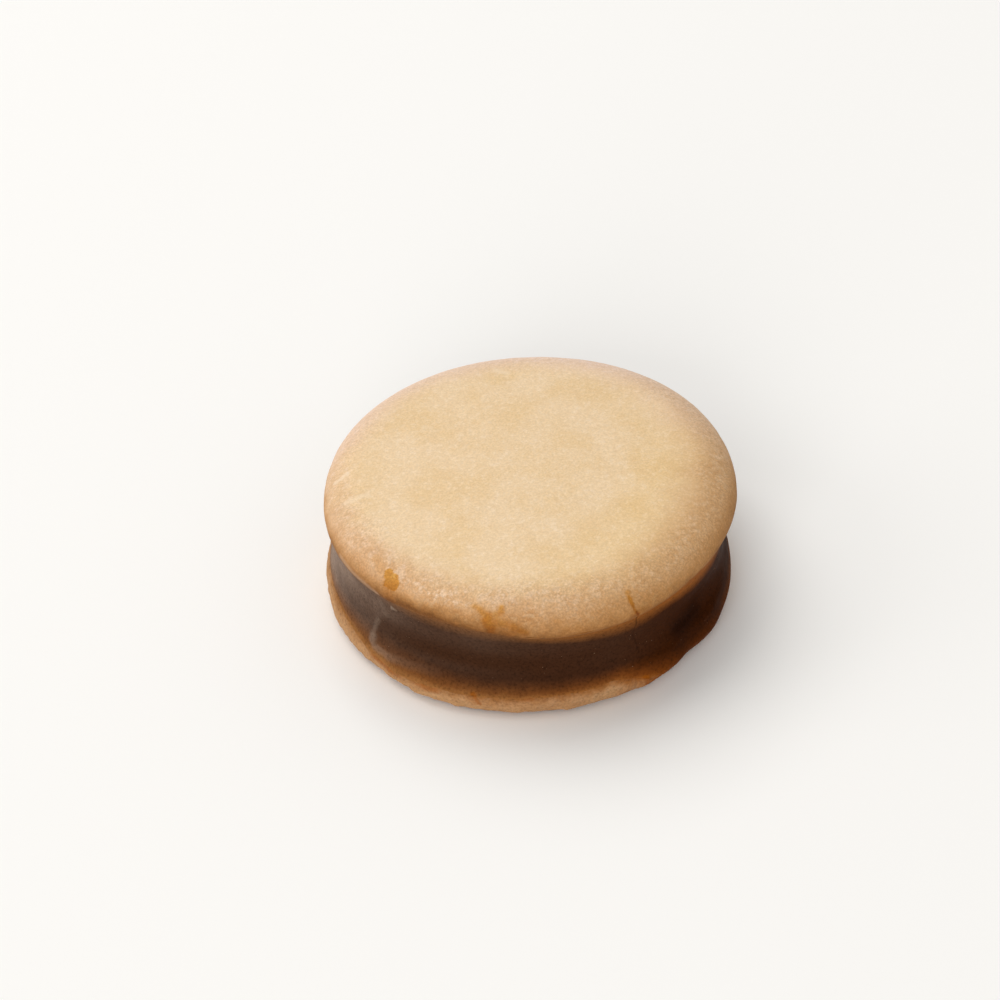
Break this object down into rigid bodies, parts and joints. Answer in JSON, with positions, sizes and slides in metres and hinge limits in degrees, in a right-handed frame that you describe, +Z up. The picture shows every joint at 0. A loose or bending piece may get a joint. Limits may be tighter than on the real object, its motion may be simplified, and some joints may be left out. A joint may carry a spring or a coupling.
{
  "type": "dulce de leche alfajor",
  "caption": "Whole round alfajor: a smooth domed biscuit and a flat biscuit, with a thick dark dulce de leche filling pressed out almost flush between them, lying flat.",
  "frame": {"origin": "on the table under the middle of the whole sandwich's box", "axes": "+Z up through the three layers; -Y faces the camera of the picture, with the fold in the caramel at its left"},
  "size_m": [0.066, 0.0656, 0.0235],
  "materials": {
    "biscuit": "pale cream baked biscuit, fine floury grain, tan at the rim",
    "caramel": "dark brown milk caramel with a satin skin",
    "biscuit_edge": "tan baked biscuit, stained brown by the caramel above"
  },
  "bodies": {
    "root": {"top_biscuit": "biscuit", "filling": "caramel", "bottom_biscuit": "biscuit_edge"}
  },
  "joints": []
}
